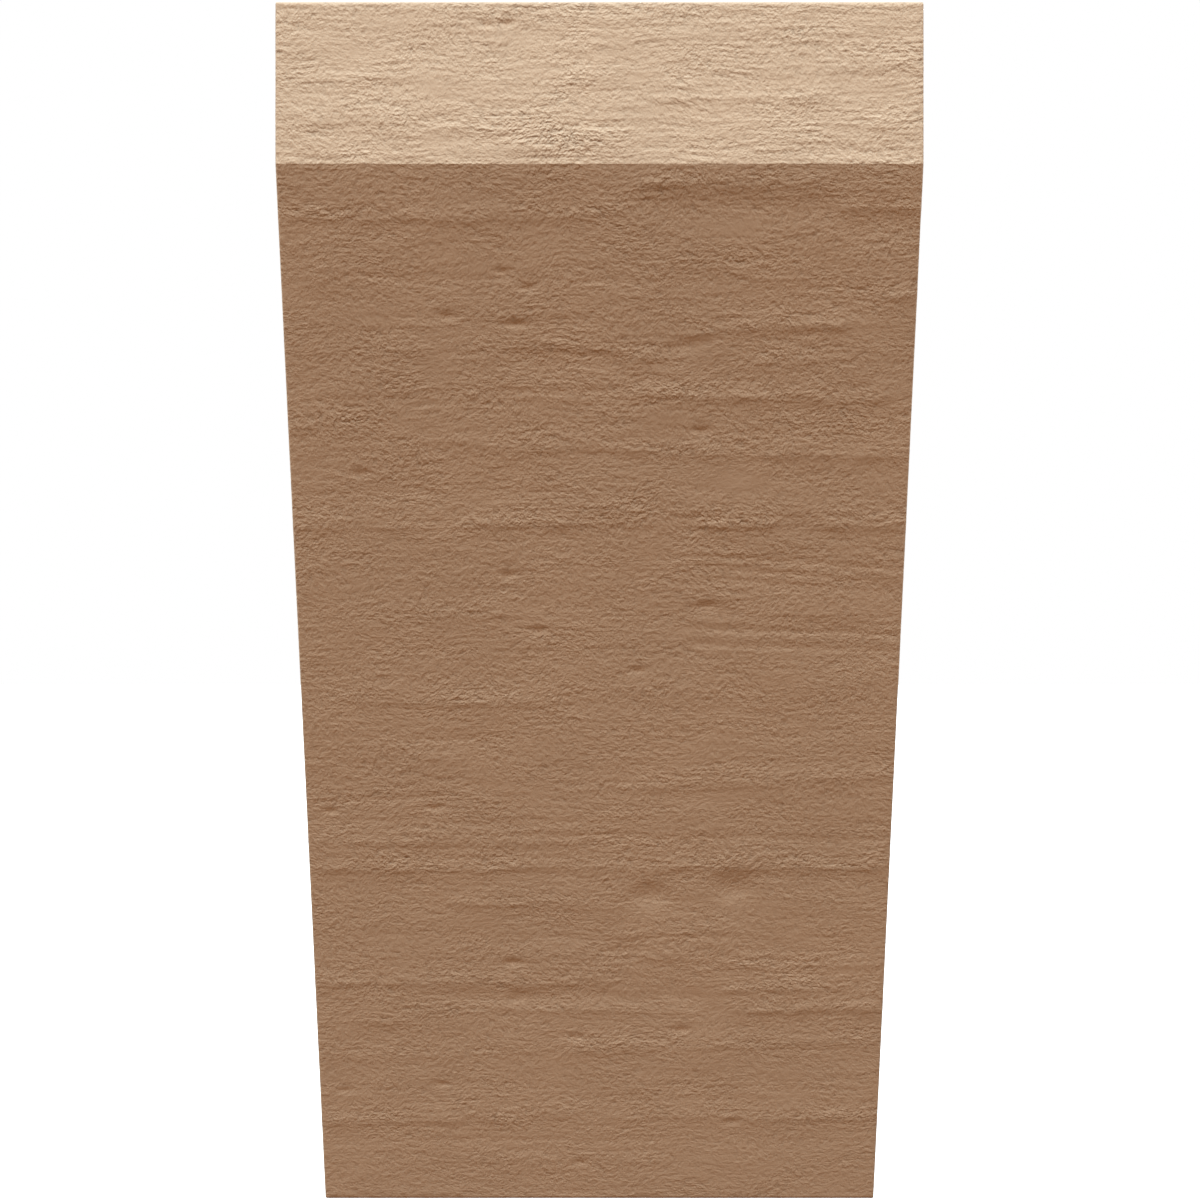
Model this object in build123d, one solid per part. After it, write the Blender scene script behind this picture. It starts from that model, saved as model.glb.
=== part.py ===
from build123d import *
import os

# A one-piece timber-effect corbel: a square-ended block whose underside slopes back to a thin toe.
# Its flat back is fixed to a wall, and its flat top carries a shelf, a beam or an eave.
#
# The origin is the centre of the back face. X runs along the wall, +Z is up, and the corbel
# stands out from the wall towards -Y. Its left and right halves mirror each other.

INCH = 25.4

# Driving dimensions, in millimetres
corbel_width = 6 * INCH
corbel_height = 12 * INCH
top_projection = 6 * INCH
nose_height = 1.5 * INCH
toe_depth = 1.5 * INCH
eased_edge_radius = 0.5

# The levels of the side profile
WALL_Y = 0.0
NOSE_Y = WALL_Y - top_projection
TOE_FRONT_Y = WALL_Y - toe_depth
TOP_Z = corbel_height / 2
NOSE_BOTTOM_Z = TOP_Z - nose_height
TOE_Z = TOP_Z - corbel_height


def side_profile():
    """The corbel from its side: flat top, upright nose, sloping underside, level toe and flat back."""
    corners = [
        (WALL_Y, TOP_Z),
        (NOSE_Y, TOP_Z),
        (NOSE_Y, NOSE_BOTTOM_Z),
        (TOE_FRONT_Y, TOE_Z),
        (WALL_Y, TOE_Z),
    ]
    return Plane.YZ * make_face(Polyline(*corners, close=True))


def edges_off_the_wall(block):
    """Every edge but the four round the back face, which stay sharp so that it lies close to the wall."""
    wall_edges = block.faces().sort_by(Axis.Y)[-1].edges()
    return block.edges().filter_by(lambda edge: edge not in wall_edges)


def make_corbel():
    """The corbel as one solid, with its exposed edges eased."""
    block = extrude(side_profile(), amount=corbel_width / 2, both=True)
    return fillet(edges_off_the_wall(block), radius=eased_edge_radius)


corbel = make_corbel()
corbel.label = "corbel"

os.makedirs("parts", exist_ok=True)
export_step(corbel, "parts/corbel.step")
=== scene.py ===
"""The looks of a moulded timber-effect corbel.

The block is cast in one piece. Every face that shows has the relief of sandblasted timber, with
its grain running level round the block, and the whole is primed an even tan. Lengths are in
millimetres until a mesh, a lamp or the camera is made.
"""
import math

import bpy
import numpy as np
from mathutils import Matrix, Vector


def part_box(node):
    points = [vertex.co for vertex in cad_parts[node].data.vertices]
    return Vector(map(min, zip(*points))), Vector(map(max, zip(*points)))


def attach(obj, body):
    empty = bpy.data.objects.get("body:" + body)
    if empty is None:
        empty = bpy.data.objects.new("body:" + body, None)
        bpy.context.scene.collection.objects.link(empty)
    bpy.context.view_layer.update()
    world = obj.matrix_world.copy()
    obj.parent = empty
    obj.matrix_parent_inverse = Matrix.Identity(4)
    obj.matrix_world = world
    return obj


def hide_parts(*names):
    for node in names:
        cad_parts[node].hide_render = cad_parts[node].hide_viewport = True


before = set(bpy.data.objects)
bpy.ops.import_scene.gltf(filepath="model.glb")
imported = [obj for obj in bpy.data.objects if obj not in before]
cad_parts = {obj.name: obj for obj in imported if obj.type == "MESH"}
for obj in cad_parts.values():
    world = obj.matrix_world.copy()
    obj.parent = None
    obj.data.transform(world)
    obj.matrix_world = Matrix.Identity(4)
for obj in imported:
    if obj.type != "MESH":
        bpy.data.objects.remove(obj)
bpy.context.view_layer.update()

MM = 0.001

# The block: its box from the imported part, and the sizes that shape its side profile
low_corner, high_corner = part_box("corbel")
WIDTH, PROJECTION, HEIGHT = (high_corner - low_corner) / MM
NOSE_HEIGHT = 38.1
TOE_DEPTH = 38.1
EASED_RADIUS = 0.5

SLOPE_DROP = HEIGHT - NOSE_HEIGHT
SLOPE_RUN = PROJECTION - TOE_DEPTH
SLOPE_LENGTH = math.hypot(SLOPE_DROP, SLOPE_RUN)
SLOPE_TILT = math.atan2(SLOPE_RUN, SLOPE_DROP)
FRONT_LENGTH = NOSE_HEIGHT + SLOPE_LENGTH

# The net that carries the relief: grid lines run closer together across the grain than along it
STEP_ALONG_GRAIN = 1.5
STEP_ACROSS_GRAIN = 0.6
STEPS_TO_WALL = 28

# Long ledges in the grain, as (left end, right end, distance down the front at either end, lip).
# Above each one the face swells out by the lip, and at its lower side it drops back. An end beyond
# the half width carries the ledge round on to the side.
LEDGES = [
    (-28, -20, 5.3, 5.3, 0.14), (-9, 12, 11.5, 11.5, 0.12), (54, 98, 15.6, 15.8, 0.16),
    (-9, 4, 18.0, 18.2, 0.20), (-68, -49, 18.4, 18.4, 0.12), (11, 52, 22.9, 22.7, 0.18),
    (-68, -53, 24.8, 24.8, 0.14), (-90, -40, 28.4, 28.2, 0.16), (-40, 6, 30.0, 31.5, 0.20),
    (63, 86, 29.7, 30.0, 0.20), (-20, 4, 34.0, 34.2, 0.16),
    (9, 52, 43.4, 43.3, 0.20), (52, 82, 43.3, 43.0, 0.16), (58, 94, 49.1, 49.3, 0.24),
    (-104, 5, 51.8, 51.2, 0.24), (67, 88, 70.6, 70.6, 0.30), (17, 60, 79.3, 77.5, 0.28),
    (-88, -20, 84.0, 84.0, 0.10), (-20, 14, 84.2, 84.0, 0.12), (6, 22, 86.6, 86.4, 0.14),
    (38, 54, 86.3, 86.3, 0.20), (-19, 0, 95.2, 95.2, 0.16), (9, 46, 95.3, 95.8, 0.28),
    (46, 72, 95.8, 95.8, 0.20), (-68, -42, 94.1, 94.1, 0.10),
    (-96, -56, 103.3, 103.3, 0.15), (-39, 5, 106.4, 109.5, 0.14),
    (5, 92, 109.7, 111.0, 0.24), (17, 29, 124.9, 124.9, 0.15), (-100, -44, 129.3, 129.3, 0.22),
    (-12, 13, 124.8, 124.6, 0.22), (-34, 12, 129.0, 128.8, 0.28), (25, 44, 128.6, 128.8, 0.44),
    (54, 96, 129.3, 129.3, 0.32), (23, 31, 149.3, 149.3, 0.24), (43, 66, 152.2, 153.3, 0.12),
    (-44, -23, 153.6, 153.6, 0.12), (12, 44, 175.2, 175.2, 0.12), (-70, -10, 177.2, 177.0, 0.22),
    (-51, -34, 193.3, 193.3, 0.12), (-86, -66, 195.6, 195.6, 0.10), (10, 90, 200.4, 197.8, 0.17),
    (-5, 47, 202.3, 201.2, 0.15), (-90, 0, 217.3, 217.3, 0.14), (-84, -22, 225.6, 225.0, 0.30),
    (-24, 32, 224.0, 224.0, 0.22), (30, 88, 224.4, 224.4, 0.36), (17, 31, 233.0, 232.4, 0.14),
    (-40, -5, 235.2, 235.2, 0.18), (5, 35, 244.4, 244.4, 0.16), (-27, 27, 251.7, 251.7, 0.14),
    (31, 86, 254.5, 254.5, 0.16), (-84, -36, 259.8, 259.8, 0.22), (-34, 3, 259.8, 259.6, 0.28),
    (33, 66, 261.4, 261.0, 0.32), (-46, 28, 268.4, 268.0, 0.14), (35, 96, 267.7, 267.5, 0.34),
    (-82, -50, 271.5, 271.5, 0.18), (-90, 9, 283.5, 281.0, 0.14), (-8, 86, 280.3, 277.0, 0.16),
    (8, 45, 293.9, 293.9, 0.12), (-86, -22, 303.2, 303.2, 0.26), (-24, 36, 301.6, 301.6, 0.16),
    (33, 82, 302.6, 302.6, 0.24), (-40, 20, 316.0, 316.0, 0.10),
]

# Thin grooves where the grain has opened, as (left end, right end, distance down at either end,
# depth), all of one half width
GROOVES = [
    (22, 84, 136.5, 141.5, 0.21), (24, 90, 139.2, 146.0, 0.22), (26, 84, 142.6, 147.4, 0.16),
    (21, 80, 156.6, 158.4, 0.20), (22, 84, 160.4, 163.4, 0.17), (-22, 88, 214.5, 216.6, 0.18),
    (-80, -40, 206.2, 203.6, 0.16), (-75, 0, 211.0, 211.0, 0.12), (-60, 40, 245.0, 245.5, 0.10),
    (-86, -15, 187.0, 187.0, 0.10), (-50, 30, 309.0, 309.0, 0.10), (-60, 30, 66.0, 66.5, 0.10),
    (-76, -10, 120.5, 121.0, 0.10), (-40, -26, 84.2, 84.0, 0.20), (-22, 3, 84.0, 84.6, 0.30),
    (8, 19, 86.3, 86.6, 0.26), (-21, 4, 93.6, 94.4, 0.20),
]
GROOVE_HALF_WIDTH = 0.8

# Wider troughs, as (left end, right end, distance down at either end, depth, half width)
TROUGHS = [
    (8, 54, 48.4, 47.8, 0.28, 3.2), (-48, 29, 263.9, 263.6, 0.20, 2.2), (-22, 4, 86.0, 86.6, 0.22, 1.8),
    (16, 28, 82.6, 81.0, 0.18, 1.8), (58, 90, 53.6, 54.0, 0.18, 3.0), (-60, -30, 303.6, 303.6, 0.10, 1.6),
]

# Shallow knots, as (across, down, length, height, depth, turn in degrees)
KNOTS = [
    (22, 82, 6, 2.6, 0.30, 25), (13.5, 232.6, 4.4, 3.6, 1.12, 12), (35.5, 230.2, 4.2, 4.0, 1.20, 30),
    (1, 46, 6, 3.0, 0.12, 0), (69, 50, 6, 4.0, 0.20, 0), (-20, 114, 9, 4.0, 0.12, 15),
    (27, 151.4, 4, 2.2, 0.34, 0), (6, 250, 6, 2.6, 0.32, 0), (13, 91.2, 5, 2.2, 0.22, 0),
]
KNOT_PUSH = 1.2

# Small pits, as (across, down, half width, half height)
PITS = [
    (-26, 5.2, 1.0, 0.7), (-21.8, 5, 1.0, 0.7), (-15, 157, 1.4, 0.9), (-17, 68, 1.2, 0.8),
    (-23, 64, 1.1, 0.7), (-20, 77, 2.2, 0.7), (-37, 75, 1.2, 0.8), (-59, 115, 1.2, 0.8),
    (25, 104, 1.4, 0.8), (-70, 208, 1.2, 0.8), (-43, 207, 1.2, 0.7), (-23, 142, 1.2, 0.8),
    (27, 150, 2.0, 1.0), (10, 168, 1.2, 0.7), (-23, 253, 2.0, 0.8), (-22, 264, 1.0, 1.6),
    (-6, 276, 1.2, 0.8), (-43, 291, 1.2, 0.7), (-69, 293, 1.2, 0.8), (-5, 316, 1.2, 0.7),
    (22, 274, 1.4, 0.8), (37, 303, 1.3, 0.8),
]
PIT_DEPTH = 1.0

# Places where the crinkles are stronger or calmer, as (across, down, half width, half height, gain)
PATCHES = [
    (0, 1.5, 76, 2, 0.3), (-8, 32, 13, 4, 0.8), (18, 18, 4, 2, 0.6), (-63, 14, 8, 8, -0.35),
    (11, 31, 5, 4, -0.4), (30, 62, 12, 3.5, 0.4), (70, 56, 8, 4, 0.5), (34, 74, 6, 3, 0.3),
    (-38, 56, 5, 12, -0.3), (-56, 76, 13, 3.5, -0.45), (27, 84, 7, 4, -0.35), (-39, 86, 4, 12, -0.35),
    (-61, 100, 12, 5, 0.25), (32, 116, 12, 4, -0.55), (-71, 113, 7, 5, -0.4), (67, 119, 5, 5, -0.35),
    (-47, 117, 12, 8, 0.25), (25, 127, 4, 4, 0.3), (68, 149, 7, 4, -0.45), (-69, 149, 8, 5, -0.3),
    (0, 175, 70, 3, 0.2), (32, 190, 16, 2.5, -0.3), (-52, 204, 16, 3, 0.25), (-5, 217, 60, 6, 0.2),
    (8, 231, 4, 6, -0.2), (43, 240, 16, 6, -0.15), (-50, 240, 6, 10, -0.1), (48, 255, 10, 4, 0.2),
    (-54, 268, 10, 5, 0.1), (35, 265, 8, 6, -0.2), (-62, 287, 14, 3, -0.2), (40, 287, 18, 3, -0.25),
    (39, 311, 25, 9, -0.15), (-55, 223, 26, 2.5, 0.15), (55, 223, 26, 3, 0.15),
    (50, 258, 18, 3.5, 0.1), (-55, 263, 20, 5, 0.2), (-10, 258, 30, 3, 0.15), (-60, 301, 24, 3, 0.15),
    (56, 301, 22, 3, 0.15), (-10, 85, 30, 3, 0.2), (-10, 94, 24, 4, 0.2), (62, 100, 10, 9, 0.35),
    (-8, 126, 22, 4, 0.2), (35, 125, 10, 3, 0.3), (9, 18, 2, 1.5, -0.6), (29, 25, 2.5, 1.5, -0.5),
    (-39, 32, 2.5, 2, -0.5), (-40, 20, 2.5, 2, -0.5), (48, 285, 8, 4, -0.1), (30, 45, 20, 4, 0.3),
]

# The crinkles are also stronger just above each ledge, in proportion to its lip
CRUMBLE_GAIN = 1.3
CRUMBLE_ABOVE = 1.5
CRUMBLE_HALF_WIDTH = 2.5

# The ledges on the two sides are strewn at random, this many to a side, within these ranges
SIDE_LEDGES = 26
SIDE_SEED = 21
SIDE_DOWN = (6, 325)
SIDE_INWARD = (14, 140)
SIDE_HALF_LENGTH = (8, 34)
SIDE_TILT = (-1.2, 1.2)
SIDE_LIP = (0.10, 0.30)

# Random rolls, as (height, length along the grain, width across it, seed): the wander of the grain
# lines, the swell of the surface, and how the ledges break up
WANDER = [(0.6, 60, 26, 3), (0.3, 13, 7, 4), (0.42, 4, 4, 6)]
SWELL = [(0.17, 26, 16, 11), (0.10, 10, 8, 12), (0.055, 5.5, 4.5, 13)]
BREAK_UP = [(0.7, 8, 5, 17), (0.5, 3.5, 3, 18)]

# Narrow rows along the grain, with what the nose adds to their height
ROW_HEIGHT = 0.04
ROW_HEIGHT_ON_NOSE = 0.05
ROW_LENGTH = 28
ROW_WIDTH = 2.8
ROW_SEED = 14

# The section of a ledge, as parts of its lip, each with its reach: above the lip, and below it
LIP_RISE = [(0.4, 3.0), (0.6, 6.5)]
LIP_DROP = [(0.72, 1.2), (0.28, 3.6)]

# How deep the carving is, with what the nose adds, and the strip beside an arris where it fades out
CARVING = 0.64
CARVING_ON_NOSE = 0.14
CARVING_FADE = 2.0

# Half of the strip at the nose's arris over which the nose's relief turns into the slope's
ARRIS_BLEND = 2

# The share of the relief and the crinkles: on the slope, added on the nose, and lost lower down
SHARE_ON_SLOPE = 0.91
SHARE_ON_NOSE = 0.06
SHARE_LOST = 0.10
LOSS_START = 130
LOSS_LENGTH = 180


def front_at(down):
    """The depth and level of the front face at a distance down it from the top edge."""
    share = np.clip((down - NOSE_HEIGHT) / SLOPE_LENGTH, 0, 1)
    depth = -PROJECTION + share * SLOPE_RUN
    level = HEIGHT / 2 - np.minimum(down, NOSE_HEIGHT) - share * SLOPE_DROP
    return depth, level


def smooth_step(x):
    x = np.clip(x, 0, 1)
    return x * x * (3 - 2 * x)


def rolling(u, v, seed):
    """Smooth random relief from about -1 to 1, with a swell for each unit of u and v."""
    cells = 256
    turns = np.random.default_rng(seed).uniform(0, 2 * np.pi, (cells, cells))
    iu, iv = np.floor(u).astype(int), np.floor(v).astype(int)
    fu, fv = u - iu, v - iv

    def pull(du, dv):
        turn = turns[(iu + du) % cells, (iv + dv) % cells]
        return np.cos(turn) * (fu - du) + np.sin(turn) * (fv - dv)

    su = fu**3 * (fu * (fu * 6 - 15) + 10)
    sv = fv**3 * (fv * (fv * 6 - 15) + 10)
    upper = pull(0, 0) + su * (pull(1, 0) - pull(0, 0))
    lower = pull(0, 1) + su * (pull(1, 1) - pull(0, 1))
    return 1.5 * (upper + sv * (lower - upper))


def with_rolls(start, u, v, rolls):
    """A start with random rolls added to it, one after the other."""
    for height, length, width, seed in rolls:
        start = start + height * rolling(u / length, v / width, seed)
    return start


def along(u, left, right, soft=6.0):
    """1 between two ends along the grain, fading to 0 at each."""
    return smooth_step((u - left) / soft + 0.5) * smooth_step((right - u) / soft + 0.5)


def line_down(u, left, right, left_down, right_down):
    """How far down a straight line between two ends lies, level beyond its ends."""
    return left_down + (right_down - left_down) * np.clip((u - left) / (right - left), 0, 1)


def strip(distance, half_width):
    """1 on a line, fading to 0 with the distance to either side of it."""
    return np.exp(-((distance / half_width) ** 2))


def spot(u, v, across, down, half_width, half_height):
    """1 at a place, fading to 0 all round it."""
    return np.exp(-(((u - across) / half_width) ** 2) - ((v - down) / half_height) ** 2)


def knot_dents(u, v):
    """The dents of the knots, and how far the grain is pushed aside round them."""
    dents = np.zeros_like(u)
    pushed = np.zeros_like(u)
    for across, down, length, height, depth, turn in KNOTS:
        turned = math.radians(turn)
        du, dv = u - across, v - down
        lengthwise = (du * math.cos(turned) - dv * math.sin(turned)) / length
        crosswise = (du * math.sin(turned) + dv * math.cos(turned)) / height
        near = np.exp(-(lengthwise**2 + crosswise**2))
        dents -= depth * near
        pushed += KNOT_PUSH * crosswise * np.exp(-(lengthwise**2 + crosswise**2) / 4)
    return dents, pushed


def on_nose(v):
    """1 on the nose and 0 on the slope, with a soft change at the arris between them."""
    return smooth_step((NOSE_HEIGHT + ARRIS_BLEND - v) / (2 * ARRIS_BLEND))


def relief_share(v):
    """The strength of the relief and the crinkles: most on the nose, and less low on the slope."""
    lost = SHARE_LOST * smooth_step((v - LOSS_START) / LOSS_LENGTH)
    return SHARE_ON_SLOPE + SHARE_ON_NOSE * on_nose(v) - lost


def strewn_ledges():
    """Ledges for both sides, where the distance along the grain counts on from the half width."""
    dice = np.random.default_rng(SIDE_SEED)
    nearest, farthest = SIDE_INWARD
    ledges = []
    for side in (-1, 1):
        for _ in range(SIDE_LEDGES):
            down = dice.uniform(*SIDE_DOWN)
            middle = side * dice.uniform(WIDTH / 2 + nearest, WIDTH / 2 + farthest)
            half = dice.uniform(*SIDE_HALF_LENGTH)
            tilt = dice.uniform(*SIDE_TILT)
            lip = dice.uniform(*SIDE_LIP)
            ledges.append((middle - half, middle + half, down - tilt, down + tilt, lip))
    return ledges


ALL_LEDGES = LEDGES + strewn_ledges()


def lip_profile(below):
    """A ledge across the grain: a gentle rise, a sharp drop back, and a slow run-out."""
    rise = sum(part * smooth_step(1 + below / reach) for part, reach in LIP_RISE)
    drop = sum(part * (1 - smooth_step(below / reach)) for part, reach in LIP_DROP)
    return np.where(below < 0, rise, drop)


def grain_relief(u, v):
    """How far the grain stands out of a face, for distances along and across the grain."""
    dents, pushed = knot_dents(u, v)
    grain = with_rolls(v, u, v, WANDER) + pushed
    relief = with_rolls(dents, u, grain, SWELL)
    row_height = ROW_HEIGHT + ROW_HEIGHT_ON_NOSE * on_nose(v)
    relief += row_height * rolling(u / ROW_LENGTH, grain / ROW_WIDTH, ROW_SEED)
    broken = with_rolls(1, u, v, BREAK_UP)
    for *ends, lip in ALL_LEDGES:
        below = grain - line_down(u, *ends)
        relief += lip * lip_profile(below) * along(u, *ends[:2]) * broken
    for *ends, depth in GROOVES:
        below = grain - line_down(u, *ends)
        relief -= depth * strip(below, GROOVE_HALF_WIDTH) * along(u, *ends[:2])
    for *ends, depth, half_width in TROUGHS:
        below = grain - line_down(u, *ends)
        relief -= depth * strip(below, half_width) * along(u, *ends[:2])
    for pit in PITS:
        relief -= PIT_DEPTH * spot(u, v, *pit)
    return (CARVING + CARVING_ON_NOSE * on_nose(v)) * relief * relief_share(v)


def skin_strength(u, v):
    """How strong the crinkles are from place to place, with 1 as the usual strength."""
    strength = np.ones_like(u)
    for *place, gain in PATCHES:
        strength += gain * spot(u, v, *place)
    for *ends, lip in ALL_LEDGES:
        below = v - line_down(u, *ends)
        crumble = strip(below + CRUMBLE_ABOVE, CRUMBLE_HALF_WIDTH)
        strength += CRUMBLE_GAIN * lip * crumble * along(u, *ends[:2])
    return strength * relief_share(v)


def grid_lines(length, step, start_ease, end_ease):
    """Places along a face, evenly spaced but for the eased strip at either end."""
    count = max(2, round((length - start_ease - end_ease) / step) + 1)
    return np.concatenate([[0], np.linspace(start_ease, length - end_ease, count), [length]])


def ease_at(turn):
    """The width of the eased strip beside an arris where the face turns by an angle."""
    return EASED_RADIUS * math.tan(turn / 2)


RIGHT_ANGLE = math.pi / 2
nose_arris_ease = ease_at(SLOPE_TILT)
toe_arris_ease = ease_at(RIGHT_ANGLE - SLOPE_TILT)
across_lines = grid_lines(WIDTH, STEP_ALONG_GRAIN, EASED_RADIUS, EASED_RADIUS) - WIDTH / 2
nose_lines = grid_lines(NOSE_HEIGHT, STEP_ACROSS_GRAIN, EASED_RADIUS, nose_arris_ease)
slope_lines = grid_lines(SLOPE_LENGTH, STEP_ACROSS_GRAIN, nose_arris_ease, toe_arris_ease)
down_lines = np.concatenate([nose_lines, NOSE_HEIGHT + slope_lines[1:]])
wall_shares = np.linspace(0, 1, STEPS_TO_WALL)
LAST_ACROSS = len(across_lines) - 1
LAST_DOWN = len(down_lines) - 1
LAST_INWARD = STEPS_TO_WALL

# The places of the finishes in the mesh's list of materials
GRAIN_FINISH, TOP_FINISH, BACK_FINISH = range(3)


def lattice():
    """The number of each point on the block's surface, in a box of grid lines, with -1 inside."""
    numbers = np.full((LAST_ACROSS + 1, LAST_INWARD + 1, LAST_DOWN + 1), -1)
    shell = np.ones(numbers.shape, bool)
    shell[1:-1, 1:-1, 1:-1] = False
    numbers[shell] = np.arange(shell.sum())
    return numbers, np.argwhere(shell)


def inward_distance(step, reach):
    """How far behind the front face a grid line lies, where the block reaches that far to the wall."""
    share = wall_shares[np.maximum(step - 1, 0)]
    return np.where(step == 0, 0, EASED_RADIUS + share * (reach - EASED_RADIUS))


def block_points(places):
    """The carved surface, point by point, and the strength of the crinkles there."""
    i, j, k = places.T
    down = down_lines[k]
    x = across_lines[i]
    front, z = front_at(down)
    inward = inward_distance(j, -front)
    y = front + inward
    points = np.stack([x, y, z], 1)
    on_slope = down > NOSE_HEIGHT
    front_normal = np.stack([np.zeros(len(x)), np.where(on_slope, -math.cos(SLOPE_TILT), -1),
                             np.where(on_slope, -math.sin(SLOPE_TILT), 0)], 1)
    faces = [
        (j == 0, front_normal, x, down, [WIDTH / 2 - np.abs(x), down, FRONT_LENGTH - down]),
        (i == 0, (-1, 0, 0), -WIDTH / 2 - inward, down, [inward, -y, down, FRONT_LENGTH - down]),
        (i == LAST_ACROSS, (1, 0, 0), WIDTH / 2 + inward, down, [inward, -y, down, FRONT_LENGTH - down]),
        (k == 0, (0, 0, 1), x, -inward, [WIDTH / 2 - np.abs(x), inward, -y]),
        (k == LAST_DOWN, (0, 0, -1), x, FRONT_LENGTH + inward, [WIDTH / 2 - np.abs(x), inward, -y]),
    ]
    on_faces = sum(on.astype(int) for on, *_ in faces) + (j == LAST_INWARD)
    strength = np.ones(len(x))
    for on, normal, u, v, to_arris in faces:
        normal = np.broadcast_to(normal, points.shape)
        clear = np.min(to_arris, axis=0)
        carved = grain_relief(u[on], v[on]) * smooth_step(clear[on] / CARVING_FADE)
        points[on] += normal[on] * carved[:, None]
        strength[on] = skin_strength(u[on], v[on])
        arris = on & (on_faces > 1) & ~((j == LAST_INWARD) & (on_faces == 2))
        points[arris] -= normal[arris] * EASED_RADIUS * (1 - math.sqrt(0.5))
    return points, strength


def sheet_of(numbers, grain, flip):
    """The four-sided faces of one grid of points, with their grain coordinates corner by corner."""
    corners = np.stack([numbers[:-1, :-1], numbers[1:, :-1], numbers[1:, 1:], numbers[:-1, 1:]], -1)
    grains = np.stack([grain[:-1, :-1], grain[1:, :-1], grain[1:, 1:], grain[:-1, 1:]], -2)
    if flip:
        corners, grains = corners[..., ::-1], grains[..., ::-1, :]
    return corners.reshape(-1, 4), grains.reshape(-1, 4, 2)


def spread(u, v):
    """Grain coordinates over a grid, from the places along its two sides."""
    return np.stack(np.meshgrid(u, v, indexing="ij"), -1)


def corbel_mesh():
    """The block as one closed mesh, carved all round but for its flat back."""
    numbers, places = lattice()
    points, strength = block_points(places)
    front, _ = front_at(down_lines)
    inward = inward_distance(np.arange(LAST_INWARD + 1)[:, None], -front[None, :])
    downs = np.broadcast_to(down_lines, inward.shape)
    left_grain = np.stack([-WIDTH / 2 - inward, downs], -1)
    right_grain = np.stack([WIDTH / 2 + inward, downs], -1)
    grained = [
        sheet_of(numbers[:, 0, :], spread(across_lines, down_lines), True),
        sheet_of(numbers[0], left_grain, False),
        sheet_of(numbers[-1], right_grain, True),
    ]
    toe = sheet_of(numbers[:, :, -1], spread(across_lines, FRONT_LENGTH + inward[:, -1]), True)
    top = sheet_of(numbers[:, :, 0], spread(across_lines, -inward[:, 0]), False)
    rim = np.concatenate([numbers[:, -1, 0], numbers[-1, -1, 1:],
                          numbers[-2::-1, -1, -1], numbers[0, -1, -2:0:-1]])
    quads = np.concatenate([c for c, _ in grained] + [toe[0], top[0]])
    grains = np.concatenate([g for _, g in grained] + [toe[1], top[1]])
    mesh = bpy.data.meshes.new("moulded_block")
    mesh.from_pydata(points * MM, [], [*quads.tolist(), rim[::-1].tolist()])
    back_grain = points[rim[::-1]][:, [0, 2]]
    grain_map = mesh.uv_layers.new(name="Grain")
    all_grain = np.concatenate([grains.reshape(-1), back_grain.reshape(-1)])
    grain_map.data.foreach_set("uv", all_grain.astype(np.float32))
    strength_layer = mesh.attributes.new("skin_strength", "FLOAT", "POINT")
    strength_layer.data.foreach_set("value", strength.astype(np.float32))
    finish = np.full(len(quads) + 1, GRAIN_FINISH, np.int32)
    finish[-1 - len(top[0]):-1] = TOP_FINISH
    finish[-1] = BACK_FINISH
    mesh.polygons.foreach_set("material_index", finish)
    mesh.polygons.foreach_set("use_smooth", np.ones(len(finish), bool))
    sharpen_back(mesh, set(rim.tolist()))
    mesh.update()
    return mesh


def sharpen_back(mesh, rim):
    """The four edges that meet the wall stay sharp."""
    ends = np.empty(len(mesh.edges) * 2, np.int32)
    mesh.edges.foreach_get("vertices", ends)
    on_rim = np.isin(ends.reshape(-1, 2), list(rim)).all(1)
    mesh.edges.foreach_set("use_edge_sharp", on_rim)


def add_node(tree, kind, inputs=None, **settings):
    """One shader node, with its settings, and its inputs given as values or as sockets to link."""
    node = tree.nodes.new(kind)
    for name, value in settings.items():
        setattr(node, name, value)
    for socket, value in (inputs or {}).items():
        if isinstance(value, bpy.types.NodeSocket):
            tree.links.new(value, node.inputs[socket])
        else:
            node.inputs[socket].default_value = value
    return node


def worked_out(tree, operation, first, second, third=0.0):
    """The result of one step of arithmetic."""
    return add_node(tree, "ShaderNodeMath", {0: first, 1: second, 2: third}, operation=operation).outputs[0]


def new_group(name, inputs, outputs):
    """An empty shader group, with sockets given as name and kind, or as name, kind and value."""
    group = bpy.data.node_groups.new(name, "ShaderNodeTree")
    for socket, kind, *value in inputs:
        made = group.interface.new_socket(socket, in_out="INPUT", socket_type=kind)
        if value:
            made.default_value = value[0]
    for socket, kind in outputs:
        group.interface.new_socket(socket, in_out="OUTPUT", socket_type=kind)
    return group, group.nodes.new("NodeGroupInput").outputs, group.nodes.new("NodeGroupOutput")


# The crinkles: how far they drift, how the noise of their streaks and patches is stretched along the
# grain and across it, and the height at which a hollow has its full painted shade
CRINKLE_DRIFT = (4.0, 4.0, 0.0)
STREAK_STRETCH = (0.15, 2.2, 1.0)
PATCH_STRETCH = (0.05, 0.12, 1.0)
DEEP_HOLLOW = -0.3

PRIMER_TAN = (0.52, 0.38, 0.26)
PRIMER_SHINE = 0.1


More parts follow.
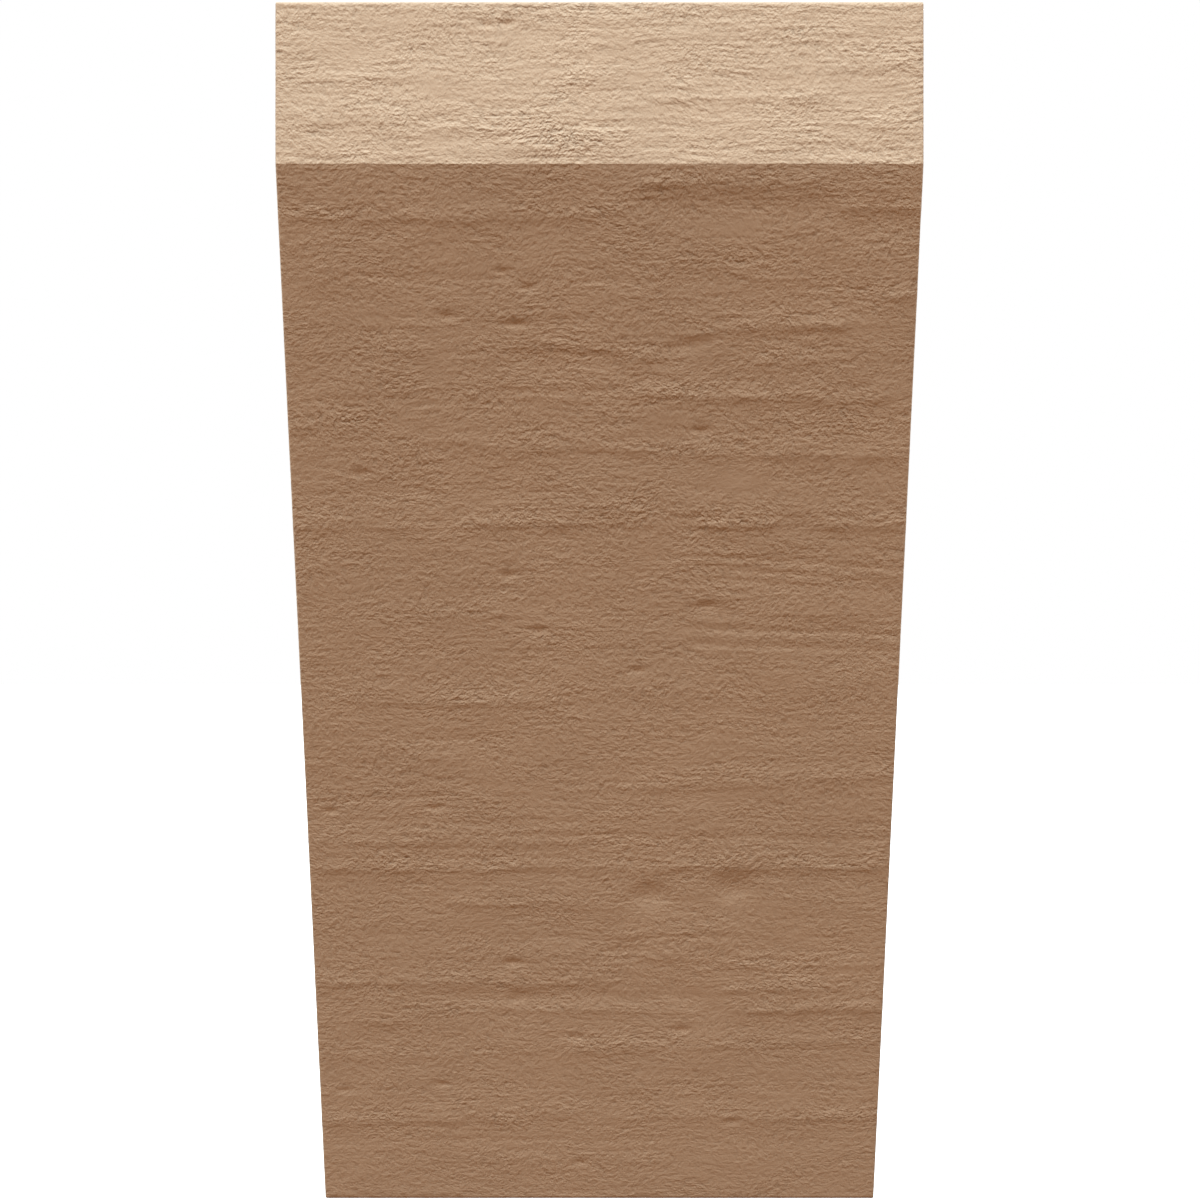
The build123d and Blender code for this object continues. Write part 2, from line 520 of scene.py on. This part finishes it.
def crinkled_skin():
    """The fine crinkles of the skin, streaked along the grain. Grain comes in millimetres."""
    group, given, result = new_group(
        "Crinkled skin",
        [("Grain", "NodeSocketVector"), ("Pitch", "NodeSocketFloat", 2.1),
         ("Streaks", "NodeSocketFloat", 0.16), ("Strength", "NodeSocketFloat", 1.0),
         ("Patchiness", "NodeSocketFloat", 2.1)],
        [("Height", "NodeSocketFloat"), ("Hollows", "NodeSocketFloat")])
    drift = add_node(group, "ShaderNodeTexNoise", {"Vector": given["Grain"], "Scale": 0.045, "Detail": 1.0},
                     noise_dimensions="2D")
    pushed = add_node(group, "ShaderNodeVectorMath",
                      {0: drift.outputs["Color"], 1: CRINKLE_DRIFT, 2: given["Grain"]},
                      operation="MULTIPLY_ADD")
    scale = worked_out(group, "DIVIDE", 1.0, given["Pitch"])
    crumbs = add_node(group, "ShaderNodeTexNoise",
                      {"Vector": pushed.outputs[0], "Scale": scale, "Detail": 6.0, "Roughness": 0.90,
                       "Lacunarity": 1.3}, noise_dimensions="2D")
    drawn_out = add_node(group, "ShaderNodeVectorMath", {0: pushed.outputs[0], 1: STREAK_STRETCH},
                         operation="MULTIPLY")
    streaks = add_node(group, "ShaderNodeTexNoise",
                       {"Vector": drawn_out.outputs[0], "Scale": scale, "Detail": 0.0},
                       noise_dimensions="2D")
    broad = add_node(group, "ShaderNodeVectorMath", {0: pushed.outputs[0], 1: PATCH_STRETCH},
                     operation="MULTIPLY")
    patches = add_node(group, "ShaderNodeTexNoise",
                       {"Vector": broad.outputs[0], "Scale": 1.0, "Detail": 3.0, "Roughness": 0.7},
                       noise_dimensions="2D")
    crumbled = worked_out(group, "SUBTRACT", crumbs.outputs["Fac"], 0.5)
    streaked = worked_out(group, "SUBTRACT", streaks.outputs["Fac"], 0.5)
    both = worked_out(group, "MULTIPLY_ADD", streaked, given["Streaks"], crumbled)
    swing = worked_out(group, "SUBTRACT", patches.outputs["Fac"], 0.5)
    patchy = worked_out(group, "MULTIPLY_ADD", swing, given["Patchiness"], 1.0)
    height = worked_out(group, "MULTIPLY", both, worked_out(group, "MULTIPLY", patchy, given["Strength"]))
    group.links.new(height, result.inputs["Height"])
    # How deep each hollow lies, from 0 to 1, which sets how much painted shade the primer tone puts in it
    hollows = add_node(group, "ShaderNodeMapRange",
                       {"Value": height, "From Min": 0.0, "From Max": DEEP_HOLLOW,
                        "To Min": 0.0, "To Max": 1.0})
    group.links.new(hollows.outputs[0], result.inputs["Hollows"])
    return group


def primer_tone():
    """The primer's colour, with the slight clouding of a sprayed coat, and painted shade that darkens the
    hollows.
    """
    group, given, result = new_group(
        "Primer tone",
        [("Grain", "NodeSocketVector"), ("Primer", "NodeSocketColor"),
         ("Clouding", "NodeSocketFloat", 0.05), ("Hollows", "NodeSocketFloat"),
         ("Hollow shade", "NodeSocketFloat", 0.12)],
        [("Colour", "NodeSocketColor")])
    clouds = add_node(group, "ShaderNodeTexNoise",
                      {"Vector": given["Grain"], "Scale": 0.03, "Detail": 3.0, "Roughness": 0.6},
                      noise_dimensions="2D")
    swing = worked_out(group, "SUBTRACT", clouds.outputs["Fac"], 0.5)
    cloud = worked_out(group, "MULTIPLY_ADD", swing, given["Clouding"], 1.0)
    # Painted shade: the colour is darkened in the hollows, where shade falls
    shade = worked_out(group, "MULTIPLY", given["Hollows"], given["Hollow shade"])
    value = worked_out(group, "SUBTRACT", cloud, shade)
    toned = add_node(group, "ShaderNodeVectorMath", {0: given["Primer"], "Scale": value}, operation="SCALE")
    group.links.new(toned.outputs[0], result.inputs["Colour"])
    return group


CRINKLED_SKIN = crinkled_skin()
PRIMER_TONE = primer_tone()


def primed(name, *, roughness, crinkle_height, nose_streaks, slope_streaks, clouding, painted_hollow_shade):
    """A finish of the one primer. The crinkle height, in millimetres, scales its bump."""
    material = bpy.data.materials.new(name)
    material.use_nodes = True
    tree = material.node_tree
    tree.nodes.clear()
    grain = add_node(tree, "ShaderNodeUVMap", uv_map="Grain")
    skin = add_node(tree, "ShaderNodeGroup", node_tree=CRINKLED_SKIN)
    tree.links.new(grain.outputs["UV"], skin.inputs["Grain"])
    down = add_node(tree, "ShaderNodeSeparateXYZ", {0: grain.outputs["UV"]})
    streaks = add_node(tree, "ShaderNodeMapRange",
                       {"Value": down.outputs["Y"],
                        "From Min": NOSE_HEIGHT - ARRIS_BLEND, "From Max": NOSE_HEIGHT + ARRIS_BLEND,
                        "To Min": nose_streaks, "To Max": slope_streaks})
    tree.links.new(streaks.outputs[0], skin.inputs["Streaks"])
    local = add_node(tree, "ShaderNodeAttribute", attribute_name="skin_strength")
    tree.links.new(local.outputs["Fac"], skin.inputs["Strength"])
    tone = add_node(tree, "ShaderNodeGroup", node_tree=PRIMER_TONE)
    tree.links.new(grain.outputs["UV"], tone.inputs["Grain"])
    tree.links.new(skin.outputs["Hollows"], tone.inputs["Hollows"])
    tone.inputs["Primer"].default_value = (*PRIMER_TAN, 1)
    tone.inputs["Clouding"].default_value = clouding
    # The share by which painted shade darkens the hollows
    tone.inputs["Hollow shade"].default_value = painted_hollow_shade
    bump = add_node(tree, "ShaderNodeBump",
                    {"Strength": 1.0, "Distance": crinkle_height * MM, "Height": skin.outputs["Height"]})
    surface = add_node(tree, "ShaderNodeBsdfPrincipled",
                       {"Base Color": tone.outputs["Colour"], "Roughness": roughness,
                        "Specular IOR Level": PRIMER_SHINE, "Normal": bump.outputs["Normal"]})
    output = add_node(tree, "ShaderNodeOutputMaterial")
    tree.links.new(surface.outputs[0], output.inputs["Surface"])
    return material


def make_corbel():
    """The finished block, in place of the plain solid."""
    block = bpy.data.objects.new("moulded_block", corbel_mesh())
    bpy.context.scene.collection.objects.link(block)
    # Each finish darkens its hollows with painted shade, by the share given last
    for finish in (
        primed("Primed grain", roughness=0.62, crinkle_height=0.57, nose_streaks=0.20, slope_streaks=0.10,
               clouding=0.10, painted_hollow_shade=0.20),
        primed("Primed top", roughness=0.62, crinkle_height=0.42, nose_streaks=0.17, slope_streaks=0.17,
               clouding=0.08, painted_hollow_shade=0.10),
        primed("Trimmed back", roughness=0.75, crinkle_height=0.12, nose_streaks=0.0, slope_streaks=0.0,
               clouding=0.12, painted_hollow_shade=0.04),
    ):
        block.data.materials.append(finish)
    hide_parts("corbel")
    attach(block, "root")
    return block


# The studio: lamps as (azimuth from the front, elevation, spread, strength, colour), all far away
WHITE = (1.0, 1.0, 1.0)
LAMPS = {
    "key": (-8, 60, 45, 5.94, (0.868, 0.951, 1.0)),
    "crown": (-8, 76, 30, 1.87, (0.43, 0.76, 1.0)),
    "front_fill": (0, 4, 60, 0.85, (1.0, 0.54, 0.25)),
    "left_wash": (-110, 3, 25, 2.1, WHITE),
    "right_wash": (110, 3, 25, 2.1, WHITE),
    "back_fill": (180, 4, 50, 1.3, WHITE),
}
SKY_LEVEL = 0.02

# The floor: how far it lies below the toe and how wide it is, what it shows, and what it gives back
FLOOR_DROP = 120.0
FLOOR_REACH = 20000.0
FLOOR_PALE = (0.8, 0.8, 0.8)
FLOOR_GLOW = 0.35
FLOOR_BOUNCE = (0.16, 0.074, 0.036)


def hang_lamps():
    for name, (azimuth, elevation, spread_angle, strength, colour) in LAMPS.items():
        lamp = bpy.data.lights.new(name, "SUN")
        lamp.energy = strength
        lamp.angle = math.radians(spread_angle)
        lamp.color = colour
        holder = bpy.data.objects.new(name, lamp)
        a, e = math.radians(azimuth), math.radians(elevation)
        towards = Vector((math.sin(a) * math.cos(e), -math.cos(a) * math.cos(e), math.sin(e)))
        holder.rotation_euler = towards.to_track_quat("Z", "Y").to_euler()
        bpy.context.scene.collection.objects.link(holder)


def seen_ray(tree):
    """1 for the rays that see the backdrop: from the camera, or by way of a shine or a clear body."""
    path = add_node(tree, "ShaderNodeLightPath")
    direct = worked_out(tree, "MAXIMUM", path.outputs["Is Camera Ray"], path.outputs["Is Glossy Ray"])
    return worked_out(tree, "MAXIMUM", direct, path.outputs["Is Transmission Ray"])


def light_sky():
    world = bpy.data.worlds.new("studio")
    world.use_nodes = True
    tree = world.node_tree
    tree.nodes.clear()
    lit = add_node(tree, "ShaderNodeBackground", {"Color": (*WHITE, 1), "Strength": SKY_LEVEL})
    seen = add_node(tree, "ShaderNodeBackground", {"Color": (*WHITE, 1), "Strength": 1.0})
    mixed = add_node(tree, "ShaderNodeMixShader",
                     {0: seen_ray(tree), 1: lit.outputs[0], 2: seen.outputs[0]})
    output = add_node(tree, "ShaderNodeOutputWorld")
    tree.links.new(mixed.outputs[0], output.inputs["Surface"])
    bpy.context.scene.world = world


def lay_floor():
    """A wide pale floor below the toe. It shows white, and gives the block a warm bounce."""
    reach = FLOOR_REACH * MM
    level = (-HEIGHT / 2 - FLOOR_DROP) * MM
    corners = [(-reach, -reach, level), (reach, -reach, level),
               (reach, reach, level), (-reach, reach, level)]
    mesh = bpy.data.meshes.new("floor")
    mesh.from_pydata(corners, [], [(0, 1, 2, 3)])
    floor = bpy.data.objects.new("floor", mesh)
    bpy.context.scene.collection.objects.link(floor)
    material = bpy.data.materials.new("Pale floor")
    material.use_nodes = True
    tree = material.node_tree
    tree.nodes.clear()
    pale = add_node(tree, "ShaderNodeBsdfDiffuse", {"Color": (*FLOOR_PALE, 1)})
    glow = add_node(tree, "ShaderNodeEmission", {"Color": (*WHITE, 1), "Strength": FLOOR_GLOW})
    shown = add_node(tree, "ShaderNodeAddShader", {0: pale.outputs[0], 1: glow.outputs[0]})
    bounce = add_node(tree, "ShaderNodeBsdfDiffuse", {"Color": (*FLOOR_BOUNCE, 1)})
    mixed = add_node(tree, "ShaderNodeMixShader",
                     {0: seen_ray(tree), 1: bounce.outputs[0], 2: shown.outputs[0]})
    output = add_node(tree, "ShaderNodeOutputMaterial")
    tree.links.new(mixed.outputs[0], output.inputs["Surface"])
    mesh.materials.append(material)


# The camera, level with the corbel's mid-height and straight in front of it
CAMERA_TO_NOSE = 624.9
LENS = 79.79
SENSOR = 36.0
PHOTO_SIDE = 1200
MIDDLE_COLUMN = 599.48
MIDDLE_ROW = 650.2


def set_camera():
    camera = bpy.data.objects.new("camera", bpy.data.cameras.new("camera"))
    camera.data.lens = LENS
    camera.data.sensor_width = SENSOR
    camera.data.shift_x = (PHOTO_SIDE / 2 - MIDDLE_COLUMN) / PHOTO_SIDE
    camera.data.shift_y = (MIDDLE_ROW - PHOTO_SIDE / 2) / PHOTO_SIDE
    camera.location = (0, -(PROJECTION + CAMERA_TO_NOSE) * MM, 0)
    camera.rotation_euler = (math.radians(90), 0, 0)
    bpy.context.scene.collection.objects.link(camera)
    bpy.context.scene.camera = camera
    bpy.context.scene.view_settings.view_transform = "Standard"


make_corbel()
lay_floor()
hang_lamps()
light_sky()
set_camera()
